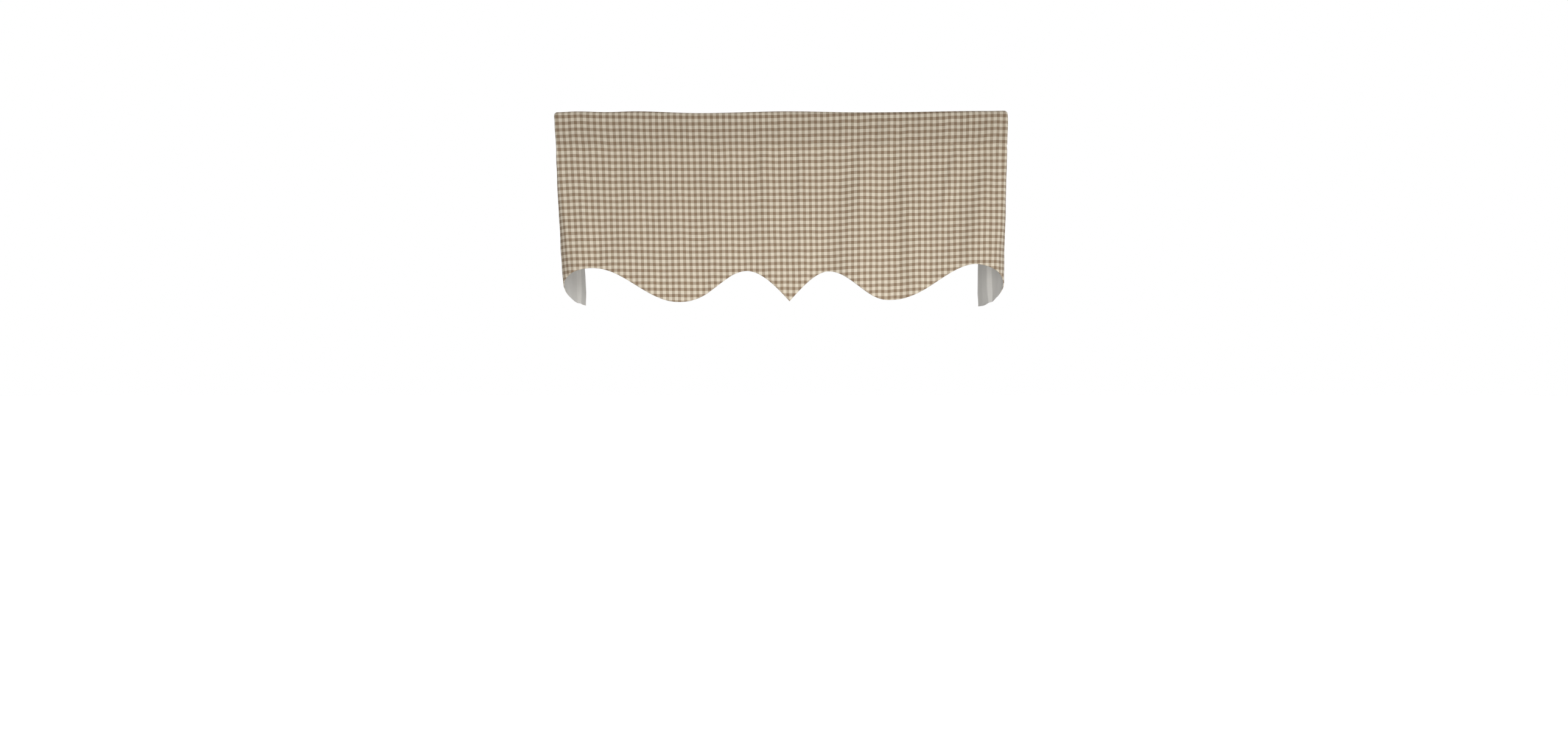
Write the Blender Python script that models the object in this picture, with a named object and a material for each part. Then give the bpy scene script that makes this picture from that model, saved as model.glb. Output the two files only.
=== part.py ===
"""Lined rod-pocket window valance with a scalloped lower edge, as it hangs.

Run with: blender --background --python part.py

The valance is two pieces of cloth. The face runs across the window and turns back to the wall at
both ends. It folds over the top and comes down again at the back as far as a row of stitching,
and this is the pocket that a curtain rod goes through. The lining follows the face on the wall
side. Its top edge is caught in the same row, and it is sewn to the face along the lower edge and
the free ends.

Metres, +Z up. +X runs along the window, to the right of someone in the room, and +Y points to
the wall. The origin is the middle of the top edge, halfway through the depth of the pocket.

A place on the cloth is given by a station and a level. A station is a line down the cloth. A
level is 0 from the top down to the pocket's stitching and 1 along the lower edge.
"""
from collections import namedtuple
from math import cos, hypot, pi, radians, sin

import bmesh
import bpy

# ---- driving sizes ----
HALF_WIDTH = 0.5215        # from the middle of the front to each corner, along the pocket
CUSP_X = 0.0205            # the cloth's middle point hangs a little right of the middle
POCKET_DROP = 0.076        # from the top edge to the row of stitching
TURN_RADIUS = 0.010        # the cloth's turn over the top, measured outside
TUCK = 0.003               # how far the stitching is drawn in behind the pocket's front
TUCK_RISE = 0.010          # height over which the pocket's front eases into the stitching
HEM_FORWARD = 0.006        # how far the lower edge hangs nearer to the room than the stitching
SEAM_HEIGHT = 0.0035       # where the pocket's front, the lining and the pocket's back lie together
LINING_CAUGHT = 0.0025     # how far the lining reaches up between them, past the stitching
POCKET_SLOPE = 1.0         # rise of the pocket's back for its way to the wall, above the seam

FACE_THICKNESS = 0.0012
LINING_THICKNESS = 0.0010
GAP = 0.0003               # clearance between one layer of cloth and the next

CORNER_RADIUS_TOP = 0.007  # corners seen from above, tight on the rod
CORNER_RADIUS_MIN = 0.003  # tightest corner of the pocket's back sheet
CORNER_FADE = 0.035        # the folds die away over this length before a corner

# ---- growth down the skirt: powers of the level, early below 1 and late above it ----
FLARE_GROWTH = 0.4
RADIUS_GROWTH = 1.3
FOLD_GROWTH = 0.6

# ---- one row for each end of the valance ----
# sign: side of the middle. cloth: length from the cusp to the free end.
# flare: how far the corner hangs outwards at the lower edge. hem_radius: corner at the lower edge.
# swing: turn past square at the lower edge, in degrees, so the end curls towards the window.
End = namedtuple("End", "sign cloth flare hem_radius swing")
LEFT = End(sign=-1, cloth=0.640, flare=0.0015, hem_radius=0.046, swing=30.0)
RIGHT = End(sign=1, cloth=0.630, flare=0.0105, hem_radius=0.050, swing=22.0)

# ---- lower edge: one row for each crest, trough and point ----
# along: place on the flat cloth, from the cusp. drop: below the top edge.
# fullness: above 1 the curve to the next row stays low for longer, below 1 it leaves sooner.
Turn = namedtuple("Turn", "along drop fullness")
SCALLOPS = (
    Turn(along=-0.6400, drop=0.4325, fullness=1.00),
    Turn(along=-0.4590, drop=0.3555, fullness=1.00),
    Turn(along=-0.2605, drop=0.4335, fullness=1.20),
    Turn(along=-0.0995, drop=0.3620, fullness=0.95),
    Turn(along=0.0000, drop=0.4320, fullness=0.90),
    Turn(along=0.0905, drop=0.3625, fullness=1.05),
    Turn(along=0.2325, drop=0.4285, fullness=1.14),
    Turn(along=0.4345, drop=0.3470, fullness=1.00),
    Turn(along=0.6300, drop=0.4320, fullness=1.00),
)

# ---- top edge: its slight waves ----
# across: place from the middle of the front. rise: above the level line.
Wave = namedtuple("Wave", "across rise")
TOP_WAVES = (
    Wave(across=-0.520, rise=-0.0008),
    Wave(across=-0.466, rise=0.0018),
    Wave(across=-0.400, rise=0.0004),
    Wave(across=-0.335, rise=0.0030),
    Wave(across=-0.187, rise=-0.0024),
    Wave(across=0.018, rise=0.0016),
    Wave(across=0.191, rise=-0.0010),
    Wave(across=0.478, rise=0.0030),
    Wave(across=0.520, rise=0.0026),
)

# ---- soft vertical folds of the front ----
# pocket_x and hem_x: the fold's line at the stitching and at the lower edge, from the middle.
# proud: how far it stands towards the room at the lower edge, or behind if negative.
# reach: distance from its line to where it has died away.
Fold = namedtuple("Fold", "pocket_x hem_x proud reach")
FOLDS = (
    Fold(pocket_x=-0.466, hem_x=-0.462, proud=0.0025, reach=0.040),
    Fold(pocket_x=-0.352, hem_x=-0.436, proud=-0.0055, reach=0.042),
    Fold(pocket_x=-0.308, hem_x=-0.384, proud=0.0040, reach=0.050),
    Fold(pocket_x=-0.220, hem_x=-0.216, proud=-0.0045, reach=0.052),
    Fold(pocket_x=-0.166, hem_x=-0.150, proud=0.0045, reach=0.048),
    Fold(pocket_x=-0.106, hem_x=-0.096, proud=-0.0050, reach=0.052),
    Fold(pocket_x=-0.030, hem_x=-0.026, proud=0.0040, reach=0.050),
    Fold(pocket_x=0.048, hem_x=0.040, proud=0.0020, reach=0.034),
    Fold(pocket_x=0.108, hem_x=0.090, proud=-0.0085, reach=0.055),
    Fold(pocket_x=0.178, hem_x=0.176, proud=0.0055, reach=0.052),
    Fold(pocket_x=0.247, hem_x=0.252, proud=-0.0060, reach=0.050),
    Fold(pocket_x=0.302, hem_x=0.314, proud=0.0045, reach=0.046),
    Fold(pocket_x=0.372, hem_x=0.334, proud=-0.0020, reach=0.030),
    Fold(pocket_x=0.414, hem_x=0.322, proud=0.0030, reach=0.032),
    Fold(pocket_x=0.454, hem_x=0.350, proud=-0.0060, reach=0.044),
    Fold(pocket_x=0.510, hem_x=0.452, proud=0.0060, reach=0.055),
)

# ---- how finely the cloth is divided ----
FRONT_STEPS = {-1: 38, 1: 36}
CORNER_STEPS = 5
RETURN_STEPS = 5
TURN_STEPS = 5
SKIRT_LEVELS = (1.0, 0.82, 0.60, 0.35, 0.15, 0.0)
SHARP_ANGLE = radians(40)

# ---- colours: base colour and roughness ----
FACE_COLOUR = (0.456, 0.371, 0.275, 1.0)
LINING_COLOUR = (0.760, 0.725, 0.655, 1.0)
CLOTH_ROUGHNESS = 0.9

Station = namedtuple("Station", "end zone part")


# ---- small curves ----
def half_wave(t):
    """Ease from 0 to 1 with a level start and finish."""
    return 0.5 - 0.5 * cos(pi * t)


def quarter_wave(t):
    """Ease from 0 to 1 with a level start and a steep finish."""
    return 1.0 - cos(0.5 * pi * t)


def hem_drop(along):
    """Drop of the lower edge at a place on the flat cloth. The curves meet in a point at 0."""
    for turn, following in zip(SCALLOPS, SCALLOPS[1:]):
        if along <= following.along:
            break
    t = (along - turn.along) / (following.along - turn.along)
    t = min(max(t, 0.0), 1.0)
    if following.along == 0.0:
        blend = quarter_wave(t ** turn.fullness)
    elif turn.along == 0.0:
        blend = 1.0 - quarter_wave((1.0 - t) ** turn.fullness)
    elif following.drop > turn.drop:
        blend = 1.0 - half_wave((1.0 - t) ** turn.fullness)
    else:
        blend = half_wave(t ** turn.fullness)
    return turn.drop + (following.drop - turn.drop) * blend


def top_rise(across):
    """Height of the top edge above the level line."""
    across = min(max(across, TOP_WAVES[0].across), TOP_WAVES[-1].across)
    for wave, following in zip(TOP_WAVES, TOP_WAVES[1:]):
        if across <= following.across:
            break
    t = (across - wave.across) / (following.across - wave.across)
    return wave.rise + (following.rise - wave.rise) * half_wave(t)


def fold_depth(across, level, to_corner):
    """How far the folds push the cloth towards the wall, at a level between 0 and 1."""
    depth = 0.0
    for fold in FOLDS:
        line = fold.pocket_x + (fold.hem_x - fold.pocket_x) * level
        offset = abs(across - line) / fold.reach
        if offset < 1.0:
            depth -= fold.proud * half_wave(1.0 - offset)
    fade = half_wave(min(to_corner / CORNER_FADE, 1.0))
    return depth * fade * level ** FOLD_GROWTH


# ---- the valance seen from above ----
def corner_of(end, level):
    """Corner's distance from the middle, its radius and its turn, at a level."""
    edge = HALF_WIDTH + end.flare * level ** FLARE_GROWTH
    radius = CORNER_RADIUS_TOP + (end.hem_radius - CORNER_RADIUS_TOP) * level ** RADIUS_GROWTH
    turn = pi / 2 + radians(end.swing) * level
    return edge, radius, turn


def run_of(end, level):
    """Length of the front from the cusp to where the corner starts."""
    edge, radius, _ = corner_of(end, level)
    return edge - radius - end.sign * CUSP_X


def return_of(end, level):
    """Length of cloth from the corner to the free end."""
    _, radius, turn = corner_of(end, level)
    return end.cloth - run_of(end, level) - radius * turn


def along(station, level):
    """Place of a station on the flat cloth, from the cusp."""
    end, zone, part = station
    _, radius, turn = corner_of(end, level)
    if zone == "front":
        length = run_of(end, level) * part
    elif zone == "corner":
        length = run_of(end, level) + radius * turn * part
    else:
        length = end.cloth - return_of(end, level) * (1.0 - part)
    return end.sign * length


def place(station, level, inset, z):
    """A point of the cloth. The inset is its distance inside the pocket's outer face."""
    end, zone, part = station
    edge, radius, turn = corner_of(end, level)
    front_y = -TURN_RADIUS - HEM_FORWARD * level
    inner = max(radius - inset, CORNER_RADIUS_MIN)
    if zone == "front":
        start = end.sign * CUSP_X
        run = min(run_of(end, level), edge - inset - inner - start)
        x = end.sign * (start + run * part)
        y = front_y + inset + fold_depth(x, level, run * (1.0 - part))
        return x, y, z
    angle = turn * part if zone == "corner" else turn
    x = edge - inset - inner + inner * sin(angle)
    y = front_y + inset + inner - inner * cos(angle)
    if zone == "return":
        length = (return_of(end, level) - (inset + inner - radius)) * part
        x += length * cos(turn)
        y += length * sin(turn)
    return end.sign * x, y, z


def stations():
    """Every station, from the left free end to the right one."""
    sides = []
    for end in (LEFT, RIGHT):
        front = FRONT_STEPS[end.sign]
        side = [Station(end, "front", k / front) for k in range(1, front + 1)]
        side += [Station(end, "corner", k / CORNER_STEPS) for k in range(1, CORNER_STEPS + 1)]
        side += [Station(end, "return", k / RETURN_STEPS) for k in range(1, RETURN_STEPS + 1)]
        sides.append(side)
    left, right = sides
    return left[::-1] + [Station(RIGHT, "front", 0.0)] + right


# ---- the valance cut through, from the lower edge up: (level, inset, height) ----
def skirt(station, inset):
    """The part below the stitching."""
    drop = hem_drop(along(station, 1.0))
    return [(level, inset, -POCKET_DROP - (drop - POCKET_DROP) * level) for level in SKIRT_LEVELS]


def face_section(station):
    """Outer side of the face: skirt, pocket front, turn over the top, pocket back, seam."""
    section = skirt(station, TUCK)
    section.append((0.0, 0.0, -POCKET_DROP + TUCK_RISE))
    for step in range(TURN_STEPS + 1):
        angle = pi * step / TURN_STEPS
        inset = TURN_RADIUS * (1.0 - cos(angle))
        section.append((0.0, inset, TURN_RADIUS * (sin(angle) - 1.0)))
    depth = 2 * TURN_RADIUS
    sewn = TUCK + 2 * FACE_THICKNESS + LINING_THICKNESS + 2 * GAP
    seam_top = -POCKET_DROP + SEAM_HEIGHT
    section.append((0.0, depth, seam_top + POCKET_SLOPE * (depth - sewn)))
    section.append((0.0, sewn, seam_top))
    section.append((0.0, sewn, -POCKET_DROP))
    return section


def lining_section(station):
    """Room side of the lining: skirt, then the edge that is caught in the pocket's seam."""
    near = TUCK + FACE_THICKNESS + GAP
    return skirt(station, near) + [(0.0, near, -POCKET_DROP + LINING_CAUGHT)]


def offset_section(section, thickness):
    """The section's other side, a thickness away square to it."""
    normals = []
    for (_, inset_a, z_a), (_, inset_b, z_b) in zip(section, section[1:]):
        length = hypot(inset_b - inset_a, z_b - z_a)
        normals.append(((z_b - z_a) / length, -(inset_b - inset_a) / length))
    pairs = zip(normals[:1] + normals, normals + normals[-1:])
    other = []
    for (level, inset, z), (before, after) in zip(section, pairs):
        inset_sum, z_sum = before[0] + after[0], before[1] + after[1]
        stretch = 2.0 * thickness / (inset_sum ** 2 + z_sum ** 2)
        other.append((level, inset + inset_sum * stretch, z + z_sum * stretch))
    return other


def lifted(station, level, inset, z):
    """Place of a point, with the pocket following the waves of the top edge."""
    x, y, z = place(station, level, inset, z)
    share = max(1.0 + z / POCKET_DROP, 0.0)
    return x, y, z + top_rise(x) * share


def build_cloth(name, section_of, thickness, colour):
    """Loft a cloth of even thickness through its sections, and close it all round."""
    mesh = bpy.data.meshes.new(name)
    build = bmesh.new()
    columns = []
    for station in stations():
        section = section_of(station)
        sides = section, offset_section(section, thickness)
        columns.append([
            [build.verts.new(lifted(station, *point)) for point in side]
            for side in sides
        ])
    for (outer_a, inner_a), (outer_b, inner_b) in zip(columns, columns[1:]):
        for k in range(len(outer_a) - 1):
            build.faces.new((outer_a[k], outer_b[k], outer_b[k + 1], outer_a[k + 1]))
            build.faces.new((inner_a[k], inner_a[k + 1], inner_b[k + 1], inner_b[k]))
        build.faces.new((outer_a[0], inner_a[0], inner_b[0], outer_b[0]))
        build.faces.new((outer_a[-1], outer_b[-1], inner_b[-1], inner_a[-1]))
    for k in range(len(columns[0][0]) - 1):
        outer, inner = columns[0]
        build.faces.new((outer[k], outer[k + 1], inner[k + 1], inner[k]))
        outer, inner = columns[-1]
        build.faces.new((outer[k], inner[k], inner[k + 1], outer[k + 1]))
    bmesh.ops.triangulate(build, faces=build.faces, quad_method="FIXED")
    build.to_mesh(mesh)
    build.free()
    mesh.shade_smooth()
    mesh.set_sharp_from_angle(angle=SHARP_ANGLE)
    cloth = bpy.data.objects.new(name, mesh)
    bpy.context.collection.objects.link(cloth)
    cloth.data.materials.append(cloth_material(name, colour))
    return cloth


def cloth_material(name, colour):
    """Plain matt cloth."""
    material = bpy.data.materials.new(name)
    material.use_nodes = True
    shader = material.node_tree.nodes["Principled BSDF"]
    shader.inputs["Base Color"].default_value = colour
    shader.inputs["Roughness"].default_value = CLOTH_ROUGHNESS
    shader.inputs["Metallic"].default_value = 0.0
    return material


def main():
    for leftover in list(bpy.data.objects):
        bpy.data.objects.remove(leftover, do_unlink=True)
    build_cloth("face", face_section, FACE_THICKNESS, FACE_COLOUR)
    build_cloth("lining", lining_section, LINING_THICKNESS, LINING_COLOUR)


main()
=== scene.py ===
"""Looks for the lined rod-pocket valance with a scalloped lower edge.

The cloth repeats the part's own stations and levels on a finer grid, in the part's frame: metres,
+Z up, +X along the window, +Y to the wall, the origin at the middle of the top edge. On top of
that comes what the solids leave out: creases, puckers, the seam along the edge, the stitches and
the weave.

A place on the flat cloth is given by along, its distance to the right of the cusp, which is the
point in the middle of the lower edge, and by drop, its distance below the top edge. Past the top,
on the pocket's back, drop is negative.

A place on the hanging cloth is given as in the part, by a station and a level. A station is a line
down the cloth. A level is 0 down to the pocket's stitching and 1 along the lower edge.
"""

from collections import namedtuple
from math import cos, exp, floor, hypot, pi, radians, sin, sqrt

import bpy
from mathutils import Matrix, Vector, noise


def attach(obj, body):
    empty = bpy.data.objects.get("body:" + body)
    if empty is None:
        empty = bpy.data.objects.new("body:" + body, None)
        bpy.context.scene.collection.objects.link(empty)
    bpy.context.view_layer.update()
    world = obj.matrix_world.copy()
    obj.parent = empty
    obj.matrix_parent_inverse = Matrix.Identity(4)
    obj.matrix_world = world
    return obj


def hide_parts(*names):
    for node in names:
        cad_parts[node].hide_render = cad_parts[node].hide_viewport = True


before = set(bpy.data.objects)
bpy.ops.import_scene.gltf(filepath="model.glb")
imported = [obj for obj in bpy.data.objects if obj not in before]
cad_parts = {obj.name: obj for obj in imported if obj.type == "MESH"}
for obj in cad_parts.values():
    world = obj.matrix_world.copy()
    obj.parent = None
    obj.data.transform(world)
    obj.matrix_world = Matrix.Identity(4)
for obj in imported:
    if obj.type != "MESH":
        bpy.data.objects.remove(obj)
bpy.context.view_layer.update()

# ---- the part's driving sizes, as in its source apart from TUCK_RISE ----
HALF_WIDTH = 0.5215         # from the middle of the front to each corner, along the pocket
CUSP_X = 0.0205             # the cusp hangs a little right of the middle
POCKET_DROP = 0.076         # from the top edge to the row of stitching
TURN_RADIUS = 0.010         # the cloth's turn over the top, measured outside
TUCK = 0.003                # how far the stitching is drawn in behind the pocket's front
TUCK_RISE = 0.030           # height over which the front eases into it, more slowly than the part's
HEM_FORWARD = 0.006         # how far the lower edge hangs nearer to the room than the stitching
SEAM_HEIGHT = 0.0035        # where the pocket's front and back and the lining lie together
LINING_CAUGHT = 0.0025      # how far the lining reaches up between them, past the stitching
FACE_THICKNESS = 0.0012
LINING_THICKNESS = 0.0010
GAP = 0.0003                # clearance between one layer of cloth and the next
CORNER_RADIUS_TOP = 0.007   # corners seen from above, tight on the rod
CORNER_RADIUS_MIN = 0.003   # tightest corner of the pocket's back sheet
CORNER_FADE = 0.035         # the folds die away over this length before a corner
FLARE_GROWTH = 0.4          # powers of the level, early below 1 and late above it
RADIUS_GROWTH = 1.3
FOLD_GROWTH = 0.6

# sign: side of the middle. cloth: length from the cusp to the free end.
# flare: how far the corner hangs outwards at the lower edge. hem_radius: corner at the lower edge.
# swing: turn past square at the lower edge, in degrees, so the end curls towards the window.
End = namedtuple("End", "sign cloth flare hem_radius swing")
LEFT = End(sign=-1, cloth=0.640, flare=0.0015, hem_radius=0.046, swing=30.0)
RIGHT = End(sign=1, cloth=0.630, flare=0.0105, hem_radius=0.050, swing=22.0)

# The lower edge's crests, troughs and cusp. It hangs up to 7 mm higher than the part's on the left
# return and up to 4 mm lower on the right one.
# fullness: above 1 the curve to the next row stays low for longer, below 1 it leaves sooner.
Turn = namedtuple("Turn", "along drop fullness")
SCALLOPS = (
    Turn(along=-0.6400, drop=0.4325, fullness=0.85),
    Turn(along=-0.4590, drop=0.3555, fullness=1.00),
    Turn(along=-0.2605, drop=0.4335, fullness=1.20),
    Turn(along=-0.0995, drop=0.3620, fullness=0.95),
    Turn(along=0.0000, drop=0.4320, fullness=0.90),
    Turn(along=0.0905, drop=0.3625, fullness=1.05),
    Turn(along=0.2325, drop=0.4285, fullness=1.14),
    Turn(along=0.4345, drop=0.3470, fullness=0.90),
    Turn(along=0.6120, drop=0.4320, fullness=1.00),
)

# The top edge's slight waves, 1 to 3 mm below the part's.
# across: place from the middle of the front. rise: above the level line.
Wave = namedtuple("Wave", "across rise")
TOP_WAVES = (
    Wave(across=-0.520, rise=-0.0018),
    Wave(across=-0.466, rise=0.0000),
    Wave(across=-0.400, rise=-0.0014),
    Wave(across=-0.335, rise=0.0003),
    Wave(across=-0.187, rise=-0.0037),
    Wave(across=0.018, rise=0.0002),
    Wave(across=0.191, rise=-0.0020),
    Wave(across=0.478, rise=0.0010),
    Wave(across=0.520, rise=0.0016),
)

# The part's folds, slacker on the left half, where the cloth hangs nearly flat, and in three
# places of the right half.
# pocket_x and hem_x: the fold's line at the stitching and at the lower edge, from the middle.
# proud: how far it stands towards the room at the lower edge, or behind if negative.
# reach: distance from its line to where it has died away.
Fold = namedtuple("Fold", "pocket_x hem_x proud reach")
FOLDS = (
    Fold(pocket_x=-0.466, hem_x=-0.462, proud=0.0014, reach=0.040),
    Fold(pocket_x=-0.352, hem_x=-0.436, proud=-0.0012, reach=0.042),
    Fold(pocket_x=-0.308, hem_x=-0.384, proud=0.0010, reach=0.050),
    Fold(pocket_x=-0.200, hem_x=-0.206, proud=-0.0018, reach=0.052),
    Fold(pocket_x=-0.150, hem_x=-0.140, proud=0.0018, reach=0.048),
    Fold(pocket_x=-0.086, hem_x=-0.066, proud=-0.0024, reach=0.052),
    Fold(pocket_x=-0.030, hem_x=-0.012, proud=0.0026, reach=0.050),
    Fold(pocket_x=0.048, hem_x=0.040, proud=0.0020, reach=0.034),
    Fold(pocket_x=0.122, hem_x=0.100, proud=-0.0056, reach=0.055),
    Fold(pocket_x=0.178, hem_x=0.176, proud=0.0055, reach=0.052),
    Fold(pocket_x=0.247, hem_x=0.262, proud=-0.0064, reach=0.050),
    Fold(pocket_x=0.302, hem_x=0.326, proud=0.0048, reach=0.046),
    Fold(pocket_x=0.372, hem_x=0.334, proud=-0.0020, reach=0.030),
    Fold(pocket_x=0.414, hem_x=0.322, proud=0.0006, reach=0.032),
    Fold(pocket_x=0.454, hem_x=0.350, proud=-0.0028, reach=0.044),
    Fold(pocket_x=0.510, hem_x=0.452, proud=0.0060, reach=0.055),
)

# ---- creases that the solids leave out ----
# Each crest runs from start to end, which are (along, drop). proud: how far it stands towards the
# room. steep and gentle: width of its left side and of its right side.
Crease = namedtuple("Crease", "start end proud steep gentle")
CREASES = (
    Crease(start=(-0.368, 0.100), end=(-0.372, 0.220), proud=0.0010, steep=0.013, gentle=0.022),
    Crease(start=(-0.255, 0.105), end=(-0.262, 0.200), proud=0.0009, steep=0.013, gentle=0.022),
    Crease(start=(-0.197, 0.090), end=(-0.200, 0.190), proud=0.0012, steep=0.016, gentle=0.026),
    Crease(start=(-0.116, 0.110), end=(-0.094, 0.230), proud=0.0008, steep=0.012, gentle=0.020),
    Crease(start=(-0.068, 0.090), end=(-0.044, 0.280), proud=0.0013, steep=0.015, gentle=0.026),
    Crease(start=(0.026, 0.072), end=(0.021, 0.280), proud=0.0017, steep=0.012, gentle=0.028),
    Crease(start=(0.058, 0.074), end=(0.126, 0.134), proud=0.0010, steep=0.010, gentle=0.014),
    Crease(start=(0.174, 0.078), end=(0.156, 0.290), proud=0.0032, steep=0.038, gentle=0.042),
    Crease(start=(0.211, 0.076), end=(0.209, 0.180), proud=0.0010, steep=0.009, gentle=0.014),
    Crease(start=(0.260, 0.076), end=(0.292, 0.460), proud=0.0021, steep=0.022, gentle=0.026),
    Crease(start=(0.301, 0.076), end=(0.300, 0.160), proud=0.0008, steep=0.009, gentle=0.012),
    Crease(start=(0.331, 0.078), end=(0.328, 0.150), proud=0.0008, steep=0.009, gentle=0.012),
    Crease(start=(0.386, 0.076), end=(0.343, 0.270), proud=0.0024, steep=0.014, gentle=0.040),
    Crease(start=(0.462, 0.110), end=(0.387, 0.430), proud=0.0026, steep=0.026, gentle=0.032),
)
CREASE_GROWTH = 6.0         # a crease grows over its first sixth
CREASE_FADE = 2.0           # and dies away over its second half

# A pleat down each return: past this place the cloth lies a step further in.
Pleat = namedtuple("Pleat", "along width step")
PLEATS = (Pleat(along=-0.619, width=0.005, step=0.009),
          Pleat(along=0.583, width=0.006, step=0.010))
PLEAT_TOP = 0.10            # the pleats grow from this drop down
PLEAT_GROWTH = 0.10         # over this length
PLEAT_LOW = 0.035           # and lie down again over this height above the lower edge
PLEAT_LOST = 0.30           # by this share of their step

# How far the sides stand outside the part's, at a drop, where they are fuller or slacker.
Bulge = namedtuple("Bulge", "drop left right")
BULGES = (
    Bulge(drop=0.000, left=0.0000, right=0.0000),
    Bulge(drop=0.015, left=-0.0006, right=0.0004),
    Bulge(drop=0.045, left=0.0004, right=0.0020),
    Bulge(drop=0.072, left=0.0008, right=0.0026),
    Bulge(drop=0.086, left=0.0002, right=0.0008),
    Bulge(drop=0.110, left=0.0000, right=0.0000),
    Bulge(drop=0.310, left=0.0000, right=0.0004),
    Bulge(drop=0.370, left=-0.0010, right=0.0024),
    Bulge(drop=0.410, left=-0.0022, right=0.0044),
)
BULGE_FADE = 0.030          # length of the front over which the sides' bulge dies away

# ---- slow random unevenness ----
# most: how far it goes, either way. width and height: size of its lumps along and down the cloth.
# offset: keeps one kind from repeating another. The kinds with a height of 1 are read without a
# drop, and are the same all the way down.
Waver = namedtuple("Waver", "most width height offset")
BILLOWS = Waver(most=0.0013, width=0.030, height=0.110, offset=0.0)
RIPPLES = Waver(most=0.0008, width=0.013, height=0.034, offset=3.0)
SEAM_PUCKERS = Waver(most=0.0005, width=0.0075, height=1.0, offset=7.0)
EDGE_PUCKERS = Waver(most=0.0006, width=0.0085, height=1.0, offset=5.0)
POCKET_PUCKERS = Waver(most=0.0016, width=0.012, height=1.0, offset=11.0)
LINING_WANDER = Waver(most=0.0016, width=0.060, height=1.0, offset=21.0)
COLUMN_WANDER = Waver(most=0.0008, width=0.026, height=0.060, offset=5.0)
ROW_WANDER = Waver(most=0.0008, width=0.022, height=0.045, offset=9.0)
TONE_WANDER = Waver(most=0.012, width=0.045, height=0.090, offset=0.0)
NOISE_PLANE = 0.37          # off the whole numbers, where the noise is weakest
SEAM_PUCKER_FADE = 0.012    # the puckers die away over this length from the stitching
EDGE_PUCKER_FADE = 0.009    # and over this one from the lower edge
POCKET_PUCKER_START = 0.15  # the pocket's grow from nothing, this far left of the cusp, to the cusp

# ---- how the checks drift from the flat cloth's own lines, in millimetres ----
# shift: how far the columns lie to the left. lean: their slope, for a drop of 1 m. high, middle,
# low: how far the rows hang above the level line, at the three drops of SAG_DROPS.
Grain = namedtuple("Grain", "along shift lean high middle low")
GRAIN = (
    Grain(along=-0.480, shift=0.8, lean=36.0, high=6.5, middle=3.9, low=1.6),
    Grain(along=-0.410, shift=-0.2, lean=17.5, high=3.2, middle=1.5, low=2.6),
    Grain(along=-0.345, shift=0.4, lean=14.0, high=1.3, middle=0.8, low=1.1),
    Grain(along=-0.280, shift=-0.2, lean=15.5, high=0.1, middle=-0.8, low=-0.5),
    Grain(along=-0.210, shift=-0.7, lean=16.5, high=-1.0, middle=-2.5, low=-1.7),
    Grain(along=-0.145, shift=-0.8, lean=18.5, high=-2.3, middle=-3.7, low=-3.0),
    Grain(along=-0.080, shift=-1.0, lean=18.5, high=-2.8, middle=-4.0, low=-3.0),
    Grain(along=-0.015, shift=-1.2, lean=19.5, high=-3.4, middle=-4.6, low=-4.0),
    Grain(along=0.050, shift=-1.0, lean=16.0, high=-3.0, middle=-4.8, low=-4.5),
    Grain(along=0.115, shift=-0.9, lean=8.5, high=-2.8, middle=-4.2, low=-3.1),
    Grain(along=0.185, shift=-0.6, lean=10.5, high=-1.1, middle=-2.0, low=-1.1),
    Grain(along=0.250, shift=-1.2, lean=17.5, high=-0.8, middle=-0.8, low=0.6),
    Grain(along=0.315, shift=-1.1, lean=17.0, high=-0.2, middle=1.2, low=2.8),
    Grain(along=0.380, shift=0.0, lean=14.0, high=1.3, middle=2.0, low=4.1),
    Grain(along=0.450, shift=0.9, lean=9.0, high=2.7, middle=3.8, low=5.6),
)
SAG_DROPS = (0.060, 0.200, 0.350)
MILLIMETRES = 1000          # to a metre
ROW_SLANT = 0.0198          # the rows rise this much to the right, for a run of 1
LEAN_CENTRE = 0.17          # drop at which the columns are where the flat cloth has them
ROWS_LEVEL = 0.045          # under the wavy top edge the rows are kept level, less so down to here

# ---- how finely the cloth is divided ----
FRONT_COLUMNS = 210
CORNER_COLUMNS = 12
RETURN_COLUMNS = 70
SKIRT_ROWS = 30
# Distances from the free edges, and heights above the stitching where it doesn't dip.
EDGE_ROWS = (0.0, 0.0003, 0.0008, 0.0015, 0.0025, 0.0045, 0.0080)
POCKET_ROWS = (0.0015, 0.0032, 0.0055, 0.0080, 0.0120, 0.0200, 0.0290, 0.0380, 0.0470, 0.0560,
               0.0660)
TURN_ROWS = 9
BACK_ROWS = 6
SEWN_ROWS = 4
MIDDLE_LEVEL = 0.5          # the distances from the free ends are true at this level

# ---- how the sheets differ from the solids ----
CLOTH_SHOWN = 0.0009        # thickness of each cloth as it is shown
EDGE_ROLL = 0.0018          # radius of the rounded seam along the free edges
LINING_RAISED = 0.0004      # the lining's edge lies about this much above the face's
SIDE_RISE = 0.070           # like TUCK_RISE, on the returns, where the pocket narrows slowly
SIDE_FADE = 0.030           # length of the front over which one turns into the other
SEAM_DIP = 0.0085           # on the left, the stitching hangs this much lower than on the part
DIP_FROM = -0.150           # place on the flat cloth where the dip starts to give way
DIP_TO = 0.550              # and where the stitching is level with the part's again
POCKET_PAINTED_SHADE = 0.10       # painted shade: share of its brightness that the pocket, lying double, has less than the skirt
POCKET_BLUR = 0.0015        # height over which one turns into the other
SEAM_PAINTED_SHADE = 0.015        # painted shade: share that is lost along the seam's upper end, in its crease
SEAM_BLUR = 0.004           # and how far up and down it spreads

# zone: front, corner or return. part: how far out the station lies in its zone, from 0 to 1.
Station = namedtuple("Station", "end zone part")
# inset: distance inside the pocket's outer face. z: height, before the top edge's waves.
Spot = namedtuple("Spot", "level inset z drop")


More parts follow.
